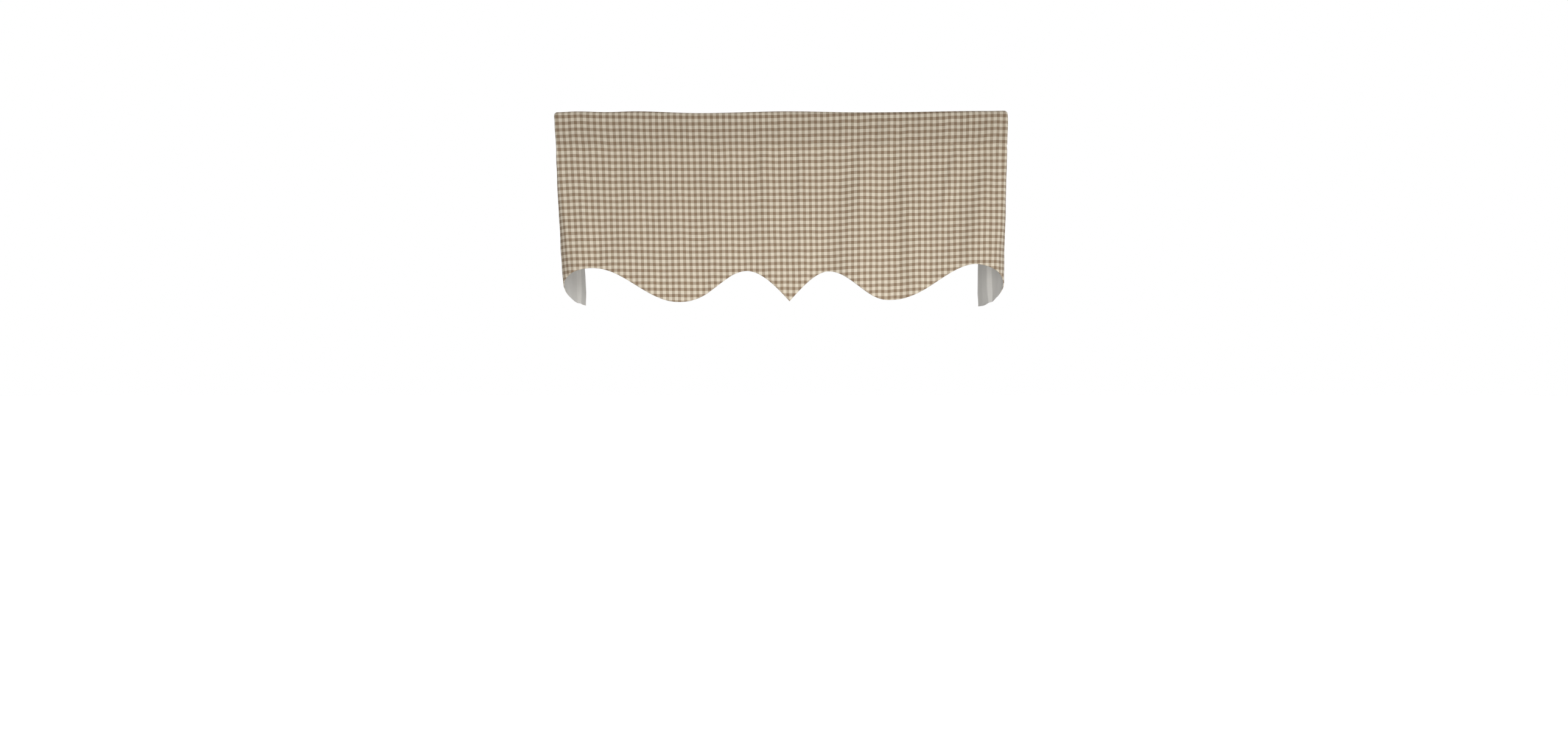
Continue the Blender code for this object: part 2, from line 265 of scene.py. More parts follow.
# ---- small curves, and places between the rows of a table ----
def half_wave(t):
    """Ease from 0 to 1 with a level start and finish."""
    return 0.5 - 0.5 * cos(pi * t)


def quarter_wave(t):
    """Ease from 0 to 1 with a level start and a steep finish."""
    return 1.0 - cos(0.5 * pi * t)


def clamp(t):
    """The number itself between 0 and 1, or else the nearer of the two."""
    return min(max(t, 0.0), 1.0)


def between(rows, where):
    """Two rows of a table on either side of a place, and the share of the way between them."""
    for row, following in zip(rows, rows[1:]):
        if where <= following[0]:
            break
    return row, following, clamp((where - row[0]) / (following[0] - row[0]))


def part_way(row, following, t):
    """A row between two rows, at this share of the way."""
    return type(row)(*(a + (b - a) * t for a, b in zip(row, following)))


# ---- the part's curves ----
def hem_drop(along):
    """Drop of the lower edge at a place on the flat cloth. The curves meet in a point at 0."""
    turn, following, t = between(SCALLOPS, along)
    if following.along == 0.0:
        share = quarter_wave(t ** turn.fullness)
    elif turn.along == 0.0:
        share = 1.0 - quarter_wave((1.0 - t) ** turn.fullness)
    elif following.drop > turn.drop:
        share = 1.0 - half_wave((1.0 - t) ** turn.fullness)
    else:
        share = half_wave(t ** turn.fullness)
    return turn.drop + (following.drop - turn.drop) * share


def top_rise(across):
    """Height of the top edge above the level line."""
    wave, following, t = between(TOP_WAVES, across)
    return wave.rise + (following.rise - wave.rise) * half_wave(t)


def fold_depth(across, level, to_corner):
    """How far the folds push the cloth towards the wall, at a level between 0 and 1."""
    depth = 0.0
    for fold in FOLDS:
        line = fold.pocket_x + (fold.hem_x - fold.pocket_x) * level
        offset = abs(across - line) / fold.reach
        if offset < 1.0:
            depth -= fold.proud * half_wave(1.0 - offset)
    fade = half_wave(min(to_corner / CORNER_FADE, 1.0))
    return depth * fade * level ** FOLD_GROWTH


def corner_of(end, level):
    """Corner's distance from the middle, its radius and its turn, at a level."""
    edge = HALF_WIDTH + end.flare * level ** FLARE_GROWTH
    radius = CORNER_RADIUS_TOP + (end.hem_radius - CORNER_RADIUS_TOP) * level ** RADIUS_GROWTH
    turn = pi / 2 + radians(end.swing) * level
    return edge, radius, turn


def run_of(end, level):
    """Length of the front from the cusp to where the corner starts."""
    edge, radius, _ = corner_of(end, level)
    return edge - radius - end.sign * CUSP_X


def return_of(end, level):
    """Length of cloth from the corner to the free end."""
    _, radius, turn = corner_of(end, level)
    return end.cloth - run_of(end, level) - radius * turn


def along_of(station, level):
    """Place of a station on the flat cloth, from the cusp."""
    end, zone, part = station
    _, radius, turn = corner_of(end, level)
    if zone == "front":
        length = run_of(end, level) * part
    elif zone == "corner":
        length = run_of(end, level) + radius * turn * part
    else:
        length = end.cloth - return_of(end, level) * (1.0 - part)
    return end.sign * length


def place(station, level, inset, z):
    """A point of the cloth. The inset is its distance inside the pocket's outer face."""
    end, zone, part = station
    edge, radius, turn = corner_of(end, level)
    front_y = -TURN_RADIUS - HEM_FORWARD * level
    inner = max(radius - inset, CORNER_RADIUS_MIN)
    if zone == "front":
        start = end.sign * CUSP_X
        run = min(run_of(end, level), edge - inset - inner - start)
        x = end.sign * (start + run * part)
        y = front_y + inset + fold_depth(x, level, run * (1.0 - part))
        return x, y, z
    angle = turn * part if zone == "corner" else turn
    x = edge - inset - inner + inner * sin(angle)
    y = front_y + inset + inner - inner * cos(angle)
    if zone == "return":
        length = (return_of(end, level) - (inset + inner - radius)) * part
        x += length * cos(turn)
        y += length * sin(turn)
    return end.sign * x, y, z


def seam_drop(along):
    """Drop of the pocket's lower end, at a place on the flat cloth."""
    return POCKET_DROP + SEAM_DIP * half_wave(clamp((DIP_TO - along) / (DIP_TO - DIP_FROM)))


# ---- relief that the solids leave out ----
def unevenness(waver, along, drop=0.0):
    """One kind of slow random unevenness, at a place on the flat cloth."""
    down = (drop + waver.offset) / waver.height
    return waver.most * noise.noise(Vector((along / waver.width, down, NOISE_PLANE)))


def crease_relief(along, drop):
    """Push towards the wall from the creases, each a ridge that dies away at both ends."""
    push = 0.0
    for crease in CREASES:
        start_along, start_drop = crease.start
        end_along, end_drop = crease.end
        run_along, run_drop = end_along - start_along, end_drop - start_drop
        off_along, off_drop = along - start_along, drop - start_drop
        length = hypot(run_along, run_drop)
        share = (off_along * run_along + off_drop * run_drop) / length ** 2
        across = (off_along * run_drop - off_drop * run_along) / length
        offset = across / crease.gentle if across > 0.0 else -across / crease.steep
        if 0.0 < share < 1.0 and offset < 1.0:
            grown = half_wave(min(share * CREASE_GROWTH, 1.0))
            taper = grown * half_wave(min((1.0 - share) * CREASE_FADE, 1.0))
            push -= crease.proud * taper * half_wave(1.0 - offset)
    return push


def pleat_relief(along, drop, to_edge):
    """Push inwards from the pleat on this side's return."""
    pleat = PLEATS[0] if along < 0.0 else PLEATS[1]
    past = clamp((abs(along) - abs(pleat.along)) / pleat.width)
    grown = half_wave(clamp((drop - PLEAT_TOP) / PLEAT_GROWTH))
    kept = 1.0 - PLEAT_LOST + PLEAT_LOST * half_wave(clamp(to_edge / PLEAT_LOW))
    return pleat.step * half_wave(past) * grown * kept


def side_bulge(end, along, drop):
    """How far the cloth of this side stands outside the part's."""
    row = part_way(*between(BULGES, drop))
    bulge = row.left if end is LEFT else row.right
    to_corner = run_of(end, 0.0) - abs(along)
    return bulge * half_wave(1.0 - clamp(to_corner / BULGE_FADE))


def relief(along, drop, to_edge):
    """Push towards the wall beyond the part's folds, at a place on the flat cloth."""
    push = crease_relief(along, drop) + pleat_relief(along, drop, to_edge)
    push += unevenness(BILLOWS, along, drop)
    push += unevenness(RIPPLES, along, drop)
    seam = seam_drop(along)
    push += unevenness(SEAM_PUCKERS, along) * exp(-abs(drop - seam) / SEAM_PUCKER_FADE)
    push += unevenness(EDGE_PUCKERS, along) * exp(-to_edge / EDGE_PUCKER_FADE)
    if drop < seam:
        grown = half_wave(clamp(along / POCKET_PUCKER_START + 1.0))
        push += unevenness(POCKET_PUCKERS, along) * grown
    return push


def edge_roll(to_edge, to_end):
    """Push towards the wall of the rounded seam, near the lower edge and the free end."""
    near = hypot(max(1.0 - to_edge / EDGE_ROLL, 0.0), max(1.0 - to_end / EDGE_ROLL, 0.0))
    return EDGE_ROLL * (1.0 - sqrt(1.0 - min(near, 1.0) ** 2))


# ---- what the materials read from the cloth ----
def grain_of(along, drop):
    """Place in the cloth's own threads: metres across the columns and down the rows."""
    drift = part_way(*between(GRAIN, along))
    high, middle, low = SAG_DROPS
    if drop < middle:
        sag = drift.high + (drift.middle - drift.high) * clamp((drop - high) / (middle - high))
    else:
        sag = drift.middle + (drift.low - drift.middle) * clamp((drop - middle) / (low - middle))
    across = along + (drift.shift + drift.lean * (LEAN_CENTRE - drop)) / MILLIMETRES
    down = drop + ROW_SLANT * along + sag / MILLIMETRES
    down -= top_rise(CUSP_X + along) * clamp(1.0 - drop / ROWS_LEVEL)
    across += unevenness(COLUMN_WANDER, along, drop)
    down += unevenness(ROW_WANDER, along, drop)
    return across, down


def tone_and_painted_shade_of(along, drop):
    """Brightness of the cloth's colour: random tone, and painted shade where the pocket lies double
    and along its seam.
    """
    tone_and_painted_shade = 1.0 + unevenness(TONE_WANDER, along, drop)
    above = seam_drop(along) - SEAM_HEIGHT - drop
    # Painted shade: the double pocket is darker than the skirt.
    tone_and_painted_shade *= 1.0 - POCKET_PAINTED_SHADE * clamp(above / POCKET_BLUR)
    # Painted shade: a darker line in the crease along the seam.
    tone_and_painted_shade *= 1.0 - SEAM_PAINTED_SHADE * exp(-abs(above) / SEAM_BLUR)
    return tone_and_painted_shade


# ---- columns and rows of the fine grid ----
def steps(count):
    """Even steps up to 1, without the 0."""
    return [k / count for k in range(1, count + 1)]


def stations():
    """Every station, from the left free end to the right one, close together at the ends."""
    sides = []
    for end in (LEFT, RIGHT):
        side = [Station(end, "front", part) for part in steps(FRONT_COLUMNS)]
        side += [Station(end, "corner", part) for part in steps(CORNER_COLUMNS)]
        length = return_of(end, MIDDLE_LEVEL)
        last = 1.0 - EDGE_ROWS[-1] / length
        side += [Station(end, "return", part * last) for part in steps(RETURN_COLUMNS)]
        side += [Station(end, "return", 1.0 - gap / length) for gap in EDGE_ROWS[-2::-1]]
        sides.append(side)
    left, right = sides
    return left[::-1] + [Station(RIGHT, "front", 0.0)] + right


def skirt(station, inset, raised):
    """The part below the stitching, from the lower edge up. Its edge is raised this much."""
    seam = seam_drop(along_of(station, 0.0))
    height = hem_drop(along_of(station, 1.0)) - seam
    levels = [1.0 - (raised + gap) / height for gap in EDGE_ROWS]
    last = levels[-1]
    levels += [last * (1.0 - part) for part in steps(SKIRT_ROWS)]
    return [Spot(level, inset, -seam - height * level, seam + height * level)
            for level in levels]


def pocket_rise(station):
    """Height over which the pocket's outer side eases into the stitching."""
    if station.zone != "front":
        return SIDE_RISE
    to_corner = run_of(station.end, 0.0) * (1.0 - station.part)
    return TUCK_RISE + (SIDE_RISE - TUCK_RISE) * half_wave(1.0 - min(to_corner / SIDE_FADE, 1.0))


def face_profile(station):
    """Outer side of the face: skirt, pocket front, turn over the top, pocket back, seam."""
    profile = skirt(station, TUCK, 0.0)
    rise = pocket_rise(station)
    seam = seam_drop(along_of(station, 0.0))
    stretch = (seam - TURN_RADIUS) / POCKET_ROWS[-1]
    for row in POCKET_ROWS:
        gap = row * stretch
        inset = TUCK * (1.0 - half_wave(min(gap / rise, 1.0)))
        profile.append(Spot(0.0, inset, -seam + gap, seam - gap))
    for part in steps(TURN_ROWS):
        angle = pi * part
        profile.append(Spot(0.0, TURN_RADIUS * (1.0 - cos(angle)),
                            TURN_RADIUS * (sin(angle) - 1.0), TURN_RADIUS * (1.0 - angle)))
    depth = 2 * TURN_RADIUS
    sewn = TUCK + 2 * FACE_THICKNESS + LINING_THICKNESS + 2 * GAP
    seam_top = -seam + SEAM_HEIGHT
    bend = seam_top + depth - sewn
    start = profile[-1].drop
    for part in steps(BACK_ROWS):
        z = -TURN_RADIUS + (bend + TURN_RADIUS) * part
        profile.append(Spot(0.0, depth, z, start + z + TURN_RADIUS))
    for part in steps(SEWN_ROWS):
        z = bend + (seam_top - bend) * part
        inset = depth + (sewn - depth) * half_wave(part)
        profile.append(Spot(0.0, inset, z, start + z + TURN_RADIUS))
    profile.append(Spot(0.0, sewn, -seam, start - seam + TURN_RADIUS))
    return profile


def lining_profile(station):
    """Room side of the lining: skirt, then the edge caught in the pocket's seam."""
    near = TUCK + FACE_THICKNESS + GAP
    raised = LINING_RAISED + unevenness(LINING_WANDER, along_of(station, 1.0))
    profile = skirt(station, near, raised)
    caught = seam_drop(along_of(station, 0.0)) - LINING_CAUGHT
    profile.append(Spot(0.0, near, -caught, caught))
    return profile


def laid(station, spot, rolled):
    """Place of a spot of the cloth, with its relief, following the waves of the top edge."""
    level, inset, z, drop = spot
    along = along_of(station, level)
    to_edge = max(hem_drop(along) - drop, 0.0)
    if drop > TURN_RADIUS:
        inset += relief(along, drop, to_edge) * clamp(drop / TURN_RADIUS - 1.0)
    if drop > 0.0:
        inset -= side_bulge(station.end, along, drop)
    if rolled:
        inset += edge_roll(to_edge, station.end.cloth - abs(along))
    x, y, z = place(station, level, inset, z)
    share = max(1.0 + z / POCKET_DROP, 0.0)
    return Vector((x, y, z + top_rise(x) * share))


def add_object(name, data):
    """A new object in the scene."""
    added = bpy.data.objects.new(name, data)
    bpy.context.collection.objects.link(added)
    return added


def build_cloth(name, profile_of, rolled):
    """A sheet through the profiles of all stations, with its grain as a UV map and its tone with
    painted shade.
    """
    points, grain, tones_and_painted_shade = [], [], []
    profiles = [(station, profile_of(station)) for station in stations()]
    for station, profile in profiles:
        for spot in profile:
            along = along_of(station, spot.level)
            points.append(laid(station, spot, rolled))
            grain.append(grain_of(along, spot.drop))
            tones_and_painted_shade.append(tone_and_painted_shade_of(along, spot.drop))
    rows = len(points) // len(profiles)
    faces = []
    for first in range(0, len(points) - rows, rows):
        for k in range(first, first + rows - 1):
            faces.append((k, k + rows, k + rows + 1, k + 1))
    mesh = bpy.data.meshes.new(name)
    mesh.from_pydata(points, [], faces)
    mesh.shade_smooth()
    grain_map = mesh.uv_layers.new(name="grain")
    for loop in mesh.loops:
        grain_map.data[loop.index].uv = grain[loop.vertex_index]
    # The tone attribute holds random tone and the painted shade of the pocket and its seam.
    mesh.attributes.new("tone_and_painted_shade", "FLOAT", "POINT").data.foreach_set("value", tones_and_painted_shade)
    cloth = add_object(name, mesh)
    thick = cloth.modifiers.new("thickness", "SOLIDIFY")
    thick.thickness = CLOTH_SHOWN
    thick.offset = -1.0
    return cloth


# ---- stitches ----
STITCH_LENGTH = 0.0026
STITCH_PITCH = 0.0032
STITCH_RADIUS = 0.00028
STITCH_SIDES = 6
SEAM_LINE = 0.0018          # the stitches run this far above the pocket's lower end
SEAM_END = 0.002            # and stop this short of the free ends
END_HEM = 0.010             # width of the pocket's hem at its open ends
END_HEM_GAP = 0.004         # that hem's stitches stop this short of the seam, front and back
SLOPE_REACH = 0.001         # the cloth's slope is taken over this length

# Rings round a stitch, as shares. along: of its length, from its middle. width and lift: of its
# radius, with the lift outwards.
Ring = namedtuple("Ring", "along width lift")
STITCH_RINGS = (
    Ring(along=-0.50, width=0.45, lift=-0.9),
    Ring(along=-0.36, width=1.00, lift=-0.1),
    Ring(along=0.00, width=1.00, lift=0.3),
    Ring(along=0.36, width=1.00, lift=-0.1),
    Ring(along=0.50, width=0.45, lift=-0.9),
)


def station_at(along):
    """Station of the pocket at a place on the flat cloth."""
    end = LEFT if along < 0.0 else RIGHT
    length, run = abs(along), run_of(end, 0.0)
    _, radius, turn = corner_of(end, 0.0)
    if length <= run:
        return Station(end, "front", length / run)
    if length <= run + radius * turn:
        return Station(end, "corner", (length - run) / (radius * turn))
    return Station(end, "return", 1.0 - (end.cloth - length) / return_of(end, 0.0))


def spot_between(profile, drop):
    """Spot of a profile at a drop, between two of its rows."""
    for spot, following in zip(profile, profile[1:]):
        if following.drop <= drop:
            t = (drop - spot.drop) / (following.drop - spot.drop)
            return part_way(spot, following, t)
    return profile[-1]


def pocket_point(along, drop):
    """Point on the outside of the pocket, at a place on the flat cloth."""
    station = station_at(along)
    return laid(station, spot_between(face_profile(station), drop), True)


def seam_paths():
    """Lines that are stitched, as lists of (along, drop), a stitch's pitch apart."""
    def back_seam(along):
        return face_profile(station_at(along))[-1].drop + SEAM_LINE

    first, last = -LEFT.cloth + SEAM_END, RIGHT.cloth - SEAM_END
    count = floor((last - first) / STITCH_PITCH)
    row = [first + STITCH_PITCH * k for k in range(count + 1)]
    paths = [[(along, seam_drop(along) - SEAM_LINE) for along in row],
             [(along, back_seam(along)) for along in row]]
    for along in (-LEFT.cloth + END_HEM, RIGHT.cloth - END_HEM):
        seam, back = seam_drop(along), back_seam(along)
        count = floor((seam - back - 2 * END_HEM_GAP) / STITCH_PITCH)
        paths.append([(along, seam - END_HEM_GAP - STITCH_PITCH * k) for k in range(count)])
    return paths


def add_stitch(points, faces, middle, run, out):
    """One stitch, added to the lists of points and faces."""
    side = out.cross(run)
    base = len(points)
    for ring in STITCH_RINGS:
        centre = middle + run * ring.along * STITCH_LENGTH + out * ring.lift * STITCH_RADIUS
        for k in range(STITCH_SIDES):
            angle = 2 * pi * k / STITCH_SIDES
            spoke = side * cos(angle) + out * sin(angle)
            points.append(centre + spoke * ring.width * STITCH_RADIUS)
    last = base + (len(STITCH_RINGS) - 1) * STITCH_SIDES
    for low in range(base, last, STITCH_SIDES):
        for k in range(STITCH_SIDES):
            k_next = (k + 1) % STITCH_SIDES
            faces.append((low + k, low + k_next, low + k_next + STITCH_SIDES,
                          low + k + STITCH_SIDES))
    faces.append(tuple(base + k for k in reversed(range(STITCH_SIDES))))
    faces.append(tuple(last + k for k in range(STITCH_SIDES)))


def add_stitches(name):
    """All the stitches, each a short thread that dips into the cloth at both ends."""
    points, faces = [], []
    for path in seam_paths():
        for (along, drop), (along_next, drop_next) in zip(path, path[1:]):
            start = pocket_point(along, drop)
            run = pocket_point(along_next, drop_next) - start
            right = pocket_point(along + SLOPE_REACH, drop) - start
            up = pocket_point(along, drop - SLOPE_REACH) - start
            out = right.cross(up).normalized()
            add_stitch(points, faces, start + run / 2, run.normalized(), out)
    mesh = bpy.data.meshes.new(name)
    mesh.from_pydata(points, [], faces)
    mesh.shade_smooth()
    return add_object(name, mesh)


# ---- materials ----
CHECK_ACROSS = 0.01399      # one brown and one cream column
CHECK_DOWN = 0.01438        # one brown and one cream row
COLUMN_PHASE = 0.186        # where the checks start, as a share of one
ROW_PHASE = 0.785
BROWN_SHARE = 0.49          # of a check, the rest is cream
STRIPE_SOFTNESS = 0.02      # of a check, where one colour of thread gives way to the other
HEATHER = 0.22              # in a mixed check, how much one colour's threads outshine the other's

CREAM = (0.700, 0.622, 0.495)
BROWN = (0.254, 0.177, 0.111)
BROWN_COLUMN = (0.454, 0.374, 0.276)   # brown columns crossed by cream rows
BROWN_ROW = (0.421, 0.339, 0.247)
# An off-white, darkened towards grey as painted shade of the wall the lining hangs against.
LINING = (0.545, 0.530, 0.500)
THREAD_COLOUR = (0.330, 0.262, 0.185)
FLOOR = (0.90, 0.90, 0.90)
FLOOR_ROUGHNESS = 0.95

# thread: width of one thread. slub, slub_roughness, slub_height: how much the uneven threads
# change the brightness, the roughness and the height. depth: height of the relief, in metres.
Finish = namedtuple("Finish", "thread slub sheen roughness slub_roughness slub_height depth bump")
GINGHAM_FINISH = Finish(thread=0.00055, slub=0.10, sheen=0.12, roughness=0.78,
                        slub_roughness=0.10, slub_height=0.5, depth=0.00012, bump=0.5)
COTTON_FINISH = Finish(thread=0.0004, slub=0.05, sheen=0.08, roughness=0.76,
                       slub_roughness=0.08, slub_height=0.4, depth=0.00008, bump=0.4)
CLOTH_SPECULAR = 0.25
WARP_SLUBS = (700.0, 11.0)  # lumps of noise to a metre, across and down
WEFT_SLUBS = (9.0, 700.0)
BLOTCHES = (14.0, 11.0)
BLOTCH_DETAIL = 3.0
CLOUDS = (6.0, 5.0)
CLOUD_LIGHTER = 1.04        # the lining's lighter colour, against its darker one
BLOTCH_VALUE = 0.05         # share of the brightness that the blotches bring
ROUND_THREAD_PAINTED_SHADE = 0.10          # and the painted shade at each round thread's edges
BASE_VALUE = 0.91           # and what is the same all over

PLY_SCALE = 2600.0          # the sewing thread's plies to a metre
PLY_CONTRAST = 0.2
PLY_ROUGHNESS = (0.6, 0.2)  # at least, and as much more on top of a ply
PLY_DEPTH = 0.0001
PLY_BUMP = 0.4


class Nodes:
    """Short way to write a material. Most methods add a node and return its output."""

    def __init__(self, name):
        self.material = bpy.data.materials.new(name)
        self.material.use_nodes = True
        self.tree = self.material.node_tree
        self.shader = self.tree.nodes["Principled BSDF"]

    def add(self, kind, inputs, **settings):
        """A node with its inputs linked or set. This one is returned whole."""
        node = self.tree.nodes.new(kind)
        for name, value in settings.items():
            setattr(node, name, value)
        for socket, value in inputs.items():
            if isinstance(value, bpy.types.NodeSocket):
                self.tree.links.new(value, node.inputs[socket])
            else:
                node.inputs[socket].default_value = value
        return node

    def math(self, operation, first, second=0.0):
        """The result of this operation on two numbers."""
        return self.add("ShaderNodeMath", {0: first, 1: second}, operation=operation).outputs[0]

    def smooth(self, value, low, high):
        """0 up to low, 1 from high on."""
        inputs = {"Value": value, "From Min": low, "From Max": high}
        return self.add("ShaderNodeMapRange", inputs,
                        interpolation_type="SMOOTHSTEP").outputs["Result"]

    def mix(self, share, first, second):
        """One colour at a share of 0, the other at 1."""
        inputs = {0: share, 6: first, 7: second}
        return self.add("ShaderNodeMix", inputs, data_type="RGBA").outputs[2]

    def tinted(self, colour, value):
        """The colour at this brightness."""
        return self.add("ShaderNodeHueSaturation", {"Value": value, "Color": colour}).outputs[0]

    def grain(self):
        """Metres across and down the cloth's own threads."""
        node = self.add("ShaderNodeSeparateXYZ",
                        {0: self.add("ShaderNodeUVMap", {}, uv_map="grain").outputs[0]})
        return node.outputs[0], node.outputs[1]

    def noise(self, across, down, lumps, detail=2.0):
        """Noise with this many lumps to a metre, across and down."""
        inputs = {0: self.math("MULTIPLY", across, lumps[0]),
                  1: self.math("MULTIPLY", down, lumps[1])}
        where = self.add("ShaderNodeCombineXYZ", inputs).outputs[0]
        return self.add("ShaderNodeTexNoise", {"Vector": where, "Scale": 1.0, "Detail": detail},
                        noise_dimensions="2D").outputs[0]

    def even(self, **values):
        """Sets what is the same all over the surface, such as Sheen_Weight=0.1."""
        for name, value in values.items():
            self.shader.inputs[name.replace("_", " ")].default_value = value

    def finish(self, colour, roughness, height, depth, strength):
        """Joins the shader's inputs. Height is from 0 to 1, over this depth."""
        bump = self.add("ShaderNodeBump",
                        {"Height": height, "Distance": depth, "Strength": strength})
        for name, value in (("Base Color", colour), ("Roughness", roughness),
                            ("Normal", bump.outputs[0])):
            self.tree.links.new(value, self.shader.inputs[name])
        return self.material


def opaque(colour):
    """The colour with an alpha of 1."""
    return (*colour, 1.0)


def scaled(colour, factor):
    """The colour, lighter or darker by this factor."""
    return [channel * factor for channel in colour]


def stripe(nodes, metres, pitch, phase):
    """1 on the brown threads of a set, 0 on the cream ones."""
    turns = nodes.math("ADD", nodes.math("DIVIDE", metres, pitch), phase)
    off_centre = nodes.math("ABSOLUTE", nodes.math("SUBTRACT", nodes.math("FRACT", turns), 0.5))
    half = BROWN_SHARE / 2
    outside = nodes.smooth(off_centre, half - STRIPE_SOFTNESS, half + STRIPE_SOFTNESS)
    return nodes.math("SUBTRACT", 1.0, outside)


def weave(nodes, across, down, thread):
    """(1 where the thread that runs down is on top and 0 where the other is, its roundness)."""
    column = nodes.math("DIVIDE", across, thread)
    row = nodes.math("DIVIDE", down, thread)
    cell = nodes.math("ADD", nodes.math("FLOOR", column), nodes.math("FLOOR", row))
    over = nodes.math("SUBTRACT", 1.0, nodes.math("ABSOLUTE", nodes.math("MODULO", cell, 2.0)))
    round_column = nodes.math("ABSOLUTE", nodes.math("SINE", nodes.math("MULTIPLY", column, pi)))
    round_row = nodes.math("ABSOLUTE", nodes.math("SINE", nodes.math("MULTIPLY", row, pi)))
    roundness = nodes.math("ADD", nodes.math("MULTIPLY", round_column, over),
                           nodes.math("MULTIPLY", round_row, nodes.math("SUBTRACT", 1.0, over)))
    return over, roundness


def cloth_value(nodes, across, down, roundness, slub):
    """(Brightness of the cloth, about 1 on average, with painted shade from the tone attribute and
    at the threads' edges, how thick its threads are here).
    """
    # Read back: random tone, with painted shade over the pocket and along its seam.
    tone_and_painted_shade = nodes.add("ShaderNodeAttribute", {}, attribute_name="tone_and_painted_shade").outputs["Fac"]
    slubs = nodes.math("ADD", nodes.noise(across, down, WARP_SLUBS),
                       nodes.noise(across, down, WEFT_SLUBS))
    blotches = nodes.noise(across, down, BLOTCHES, detail=BLOTCH_DETAIL)
    value = nodes.math("MULTIPLY", slubs, slub)
    value = nodes.math("ADD", value, nodes.math("MULTIPLY", blotches, BLOTCH_VALUE))
    # Painted shade: each thread is darker towards its edges.
    value = nodes.math("ADD", value, nodes.math("MULTIPLY", roundness, ROUND_THREAD_PAINTED_SHADE))
    value = nodes.math("ADD", value, BASE_VALUE - slub)
    return nodes.math("MULTIPLY", value, tone_and_painted_shade), slubs


def finish_cloth(nodes, finish, colour, slubs, roundness):
    """Joins a woven cloth's colour with what its finish says."""
    nodes.even(Sheen_Weight=finish.sheen, Specular_IOR_Level=CLOTH_SPECULAR)
    roughness = nodes.math("ADD", nodes.math("MULTIPLY", slubs, finish.slub_roughness),
                           finish.roughness)
    height = nodes.math("ADD", roundness, nodes.math("MULTIPLY", slubs, finish.slub_height))
    return nodes.finish(colour, roughness, height, finish.depth, finish.bump)


def gingham():
    """Yarn-dyed check: columns and rows of brown threads in cream ones, in plain weave."""
    nodes = Nodes("gingham")
    across, down = nodes.grain()
    over, roundness = weave(nodes, across, down, GINGHAM_FINISH.thread)
    column = stripe(nodes, across, CHECK_ACROSS, COLUMN_PHASE)
    row = stripe(nodes, down, CHECK_DOWN, ROW_PHASE)
    colour = nodes.mix(column, nodes.mix(row, opaque(CREAM), opaque(BROWN_ROW)),
                       nodes.mix(row, opaque(BROWN_COLUMN), opaque(BROWN)))
    mixed = nodes.math("ABSOLUTE", nodes.math("SUBTRACT", column, row))
    lighter = nodes.math("COMPARE", over, row)
    value, slubs = cloth_value(nodes, across, down, roundness, GINGHAM_FINISH.slub)
    heather = nodes.math("MULTIPLY", nodes.math("SUBTRACT", lighter, 0.5), HEATHER)
    value = nodes.math("ADD", value, nodes.math("MULTIPLY", heather, mixed))
    return finish_cloth(nodes, GINGHAM_FINISH, nodes.tinted(colour, value), slubs, roundness)


def plain_cotton():
    """Off-white lining in a closer plain weave, its colour darkened towards grey as painted shade.
    """
    nodes = Nodes("plain_lining")
    across, down = nodes.grain()
    _, roundness = weave(nodes, across, down, COTTON_FINISH.thread)
    value, slubs = cloth_value(nodes, across, down, roundness, COTTON_FINISH.slub)
    colour = nodes.mix(nodes.noise(across, down, CLOUDS), opaque(LINING),
                       opaque(scaled(LINING, CLOUD_LIGHTER)))
    return finish_cloth(nodes, COTTON_FINISH, nodes.tinted(colour, value), slubs, roundness)


def sewing_thread():
    """Cotton thread, uneven where its plies lie."""
    nodes = Nodes("sewing_thread")
    where = nodes.add("ShaderNodeTexCoord", {}).outputs["Object"]
    plies = nodes.add("ShaderNodeTexNoise",
                      {"Vector": where, "Scale": PLY_SCALE, "Detail": 1.0}).outputs[0]
    colour = nodes.mix(plies, opaque(scaled(THREAD_COLOUR, 1.0 - PLY_CONTRAST)),
                       opaque(scaled(THREAD_COLOUR, 1.0 + PLY_CONTRAST)))
    least, more = PLY_ROUGHNESS
    roughness = nodes.math("ADD", nodes.math("MULTIPLY", plies, more), least)
    return nodes.finish(colour, roughness, plies, PLY_DEPTH, PLY_BUMP)


def pale_floor():
    """Pale and even, so bright that it shows white."""
    nodes = Nodes("pale_floor")
    nodes.even(Base_Color=opaque(FLOOR), Roughness=FLOOR_ROUGHNESS,
               Emission_Color=opaque(FLOOR), Emission_Strength=1.0)
    return nodes.material


# ---- stage ----
CAMERA_PLACE = (0.0075, -1.804, -0.609)
CAMERA_TILT = radians(5.45)     # downwards
CAMERA_LENS = 17.33
CAMERA_SENSOR = 36.0            # width in millimetres, as the lens is
CAMERA_SHIFT = 0.048
FLOOR_DROP = 2.1                # a valance's top edge hangs about this far above the floor
FLOOR_REACH = 60.0
SURROUNDINGS_FRONT = 0.42       # brightness of the white surroundings as a light
SURROUNDINGS_BACK = 0.14

# towards: the way its light goes. spread: how wide it looks from the cloth, in degrees.
Sun = namedtuple("Sun", "name towards strength spread")
SUNS = (
    Sun(name="key", towards=(-0.86, 0.50, -0.28), strength=0.90, spread=30.0),
    Sun(name="front", towards=(0.32, 0.93, 0.16), strength=1.40, spread=50.0),
    Sun(name="behind", towards=(0.0, -0.80, -0.60), strength=2.3, spread=60.0),
)
SUN_PLACE = (0.0, 0.0, 3.0)     # of no effect on the light
Lamp = namedtuple("Lamp", "name place aim width height power")
LOW_LAMP = Lamp(name="low", place=(0.15, -0.95, -1.10), aim=(0.08, 0.0, -0.25), width=1.6,
                height=0.30, power=9.1)


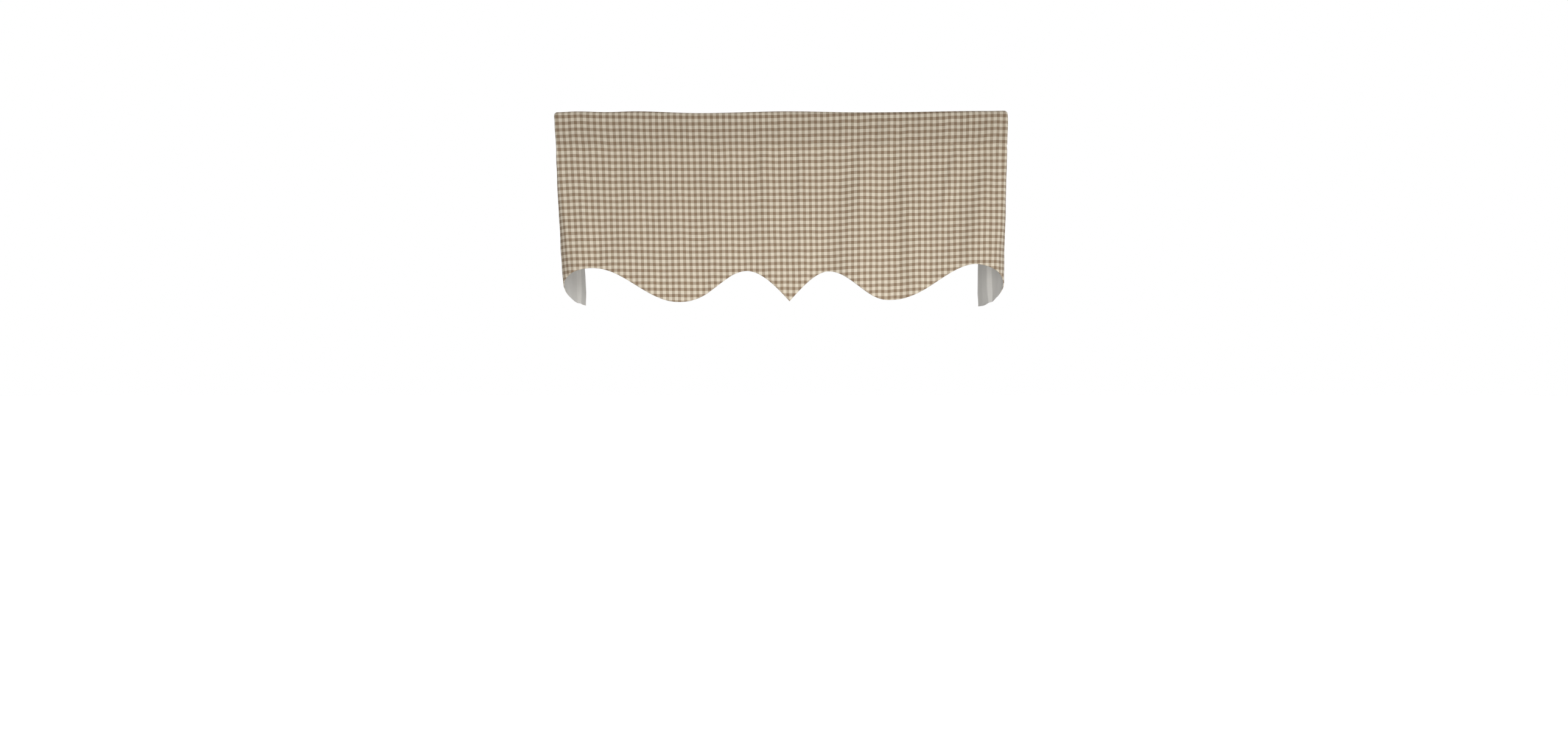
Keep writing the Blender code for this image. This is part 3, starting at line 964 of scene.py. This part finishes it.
def add_camera():
    """The camera, low in the room and a little left of the cusp."""
    data = bpy.data.cameras.new("camera")
    data.sensor_width = CAMERA_SENSOR
    data.lens = CAMERA_LENS
    data.shift_y = CAMERA_SHIFT
    camera = add_object("camera", data)
    camera.location = CAMERA_PLACE
    camera.rotation_euler = (pi / 2 - CAMERA_TILT, 0.0, 0.0)
    bpy.context.scene.camera = camera


def add_light(data, name, location, towards):
    """A light that the camera doesn't see, pointing this way."""
    light = add_object(name, data)
    light.location = location
    light.rotation_euler = Vector(towards).to_track_quat("-Z", "Y").to_euler()
    light.visible_camera = False


def add_lights():
    """A key from the right, broad light from the front and from behind above, and a low lamp."""
    for sun in SUNS:
        data = bpy.data.lights.new(sun.name, "SUN")
        data.energy, data.angle = sun.strength, radians(sun.spread)
        add_light(data, sun.name, SUN_PLACE, sun.towards)
    data = bpy.data.lights.new(LOW_LAMP.name, "AREA")
    data.shape = "RECTANGLE"
    data.size, data.size_y, data.energy = LOW_LAMP.width, LOW_LAMP.height, LOW_LAMP.power
    add_light(data, LOW_LAMP.name, LOW_LAMP.place, Vector(LOW_LAMP.aim) - Vector(LOW_LAMP.place))


def add_surroundings():
    """White all round to the eye. As a light, brighter from the room than from the wall."""
    world = bpy.data.worlds.new("studio")
    bpy.context.scene.world = world
    world.use_nodes = True
    tree = world.node_tree
    background = tree.nodes["Background"]
    background.inputs["Color"].default_value = (1.0, 1.0, 1.0, 1.0)
    seen = tree.nodes.new("ShaderNodeLightPath").outputs["Is Camera Ray"]
    way = tree.nodes.new("ShaderNodeSeparateXYZ")
    tree.links.new(tree.nodes.new("ShaderNodeTexCoord").outputs["Generated"], way.inputs[0])
    light = tree.nodes.new("ShaderNodeMapRange")
    tree.links.new(way.outputs["Y"], light.inputs["Value"])
    light.inputs["From Min"].default_value = -1.0
    light.inputs["To Min"].default_value = SURROUNDINGS_FRONT
    light.inputs["To Max"].default_value = SURROUNDINGS_BACK
    strength = tree.nodes.new("ShaderNodeMix")
    tree.links.new(seen, strength.inputs["Factor"])
    tree.links.new(light.outputs["Result"], strength.inputs["A"])
    strength.inputs["B"].default_value = 1.0
    tree.links.new(strength.outputs["Result"], background.inputs["Strength"])


def add_floor():
    """A wide floor that the cloth is not lit by: it hangs high, and the lining stays dim."""
    corners = [(FLOOR_REACH * a, FLOOR_REACH * b, -FLOOR_DROP)
               for a, b in ((-1, -1), (1, -1), (1, 1), (-1, 1))]
    mesh = bpy.data.meshes.new("floor")
    mesh.from_pydata(corners, [], [(0, 1, 2, 3)])
    mesh.materials.append(pale_floor())
    floor_piece = add_object("floor", mesh)
    floor_piece.visible_diffuse = False


# ---- the scene ----
face = build_cloth("gingham_face", face_profile, True)
lining = build_cloth("plain_lining", lining_profile, False)
stitches = add_stitches("pocket_stitches")
dressing = (
    (face, "gingham", gingham()),
    (lining, "lining", plain_cotton()),
    (stitches, "gingham", sewing_thread()),
)
for piece, slot, material in dressing:
    piece.data.materials.append(material)
    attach(piece, "root")
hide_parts("face")
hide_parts("lining")

add_camera()
add_floor()
add_lights()
add_surroundings()
bpy.context.scene.view_settings.view_transform = "Standard"
